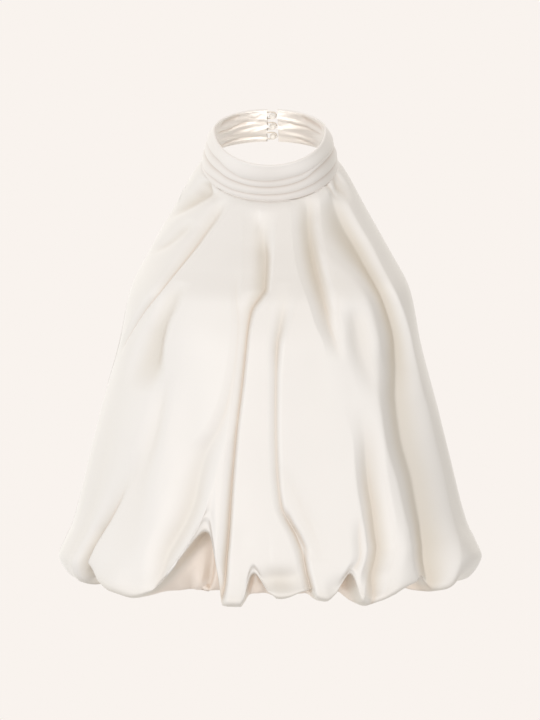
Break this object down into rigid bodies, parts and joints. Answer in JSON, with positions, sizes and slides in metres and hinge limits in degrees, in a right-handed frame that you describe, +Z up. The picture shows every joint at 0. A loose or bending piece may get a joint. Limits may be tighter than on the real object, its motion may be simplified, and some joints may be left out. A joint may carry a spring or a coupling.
{
  "type": "halter blouse with a bubble hem",
  "caption": "Sleeveless satin halter blouse with a pleated stand collar, low open back and gathered bubble hem, filled out as worn.",
  "frame": {"origin": "centre of the neck seam, where the wearer's neck holds the garment", "axes": "+Z up, the front faces -Y, +X to the right as seen from the front"},
  "size_m": [0.444, 0.2666, 0.4912],
  "materials": {
    "satin": "satin",
    "collar_satin": "satin",
    "elastic": "matte",
    "pearl": "pearl gloss",
    "loop_cord": "matte"
  },
  "bodies": {
    "root": {"front": "satin", "back": "satin", "collar": "collar_satin", "hem_band": "elastic", "button_1": "pearl", "button_2": "pearl", "button_3": "pearl", "loop_1": "loop_cord", "loop_2": "loop_cord", "loop_3": "loop_cord"}
  },
  "joints": []
}
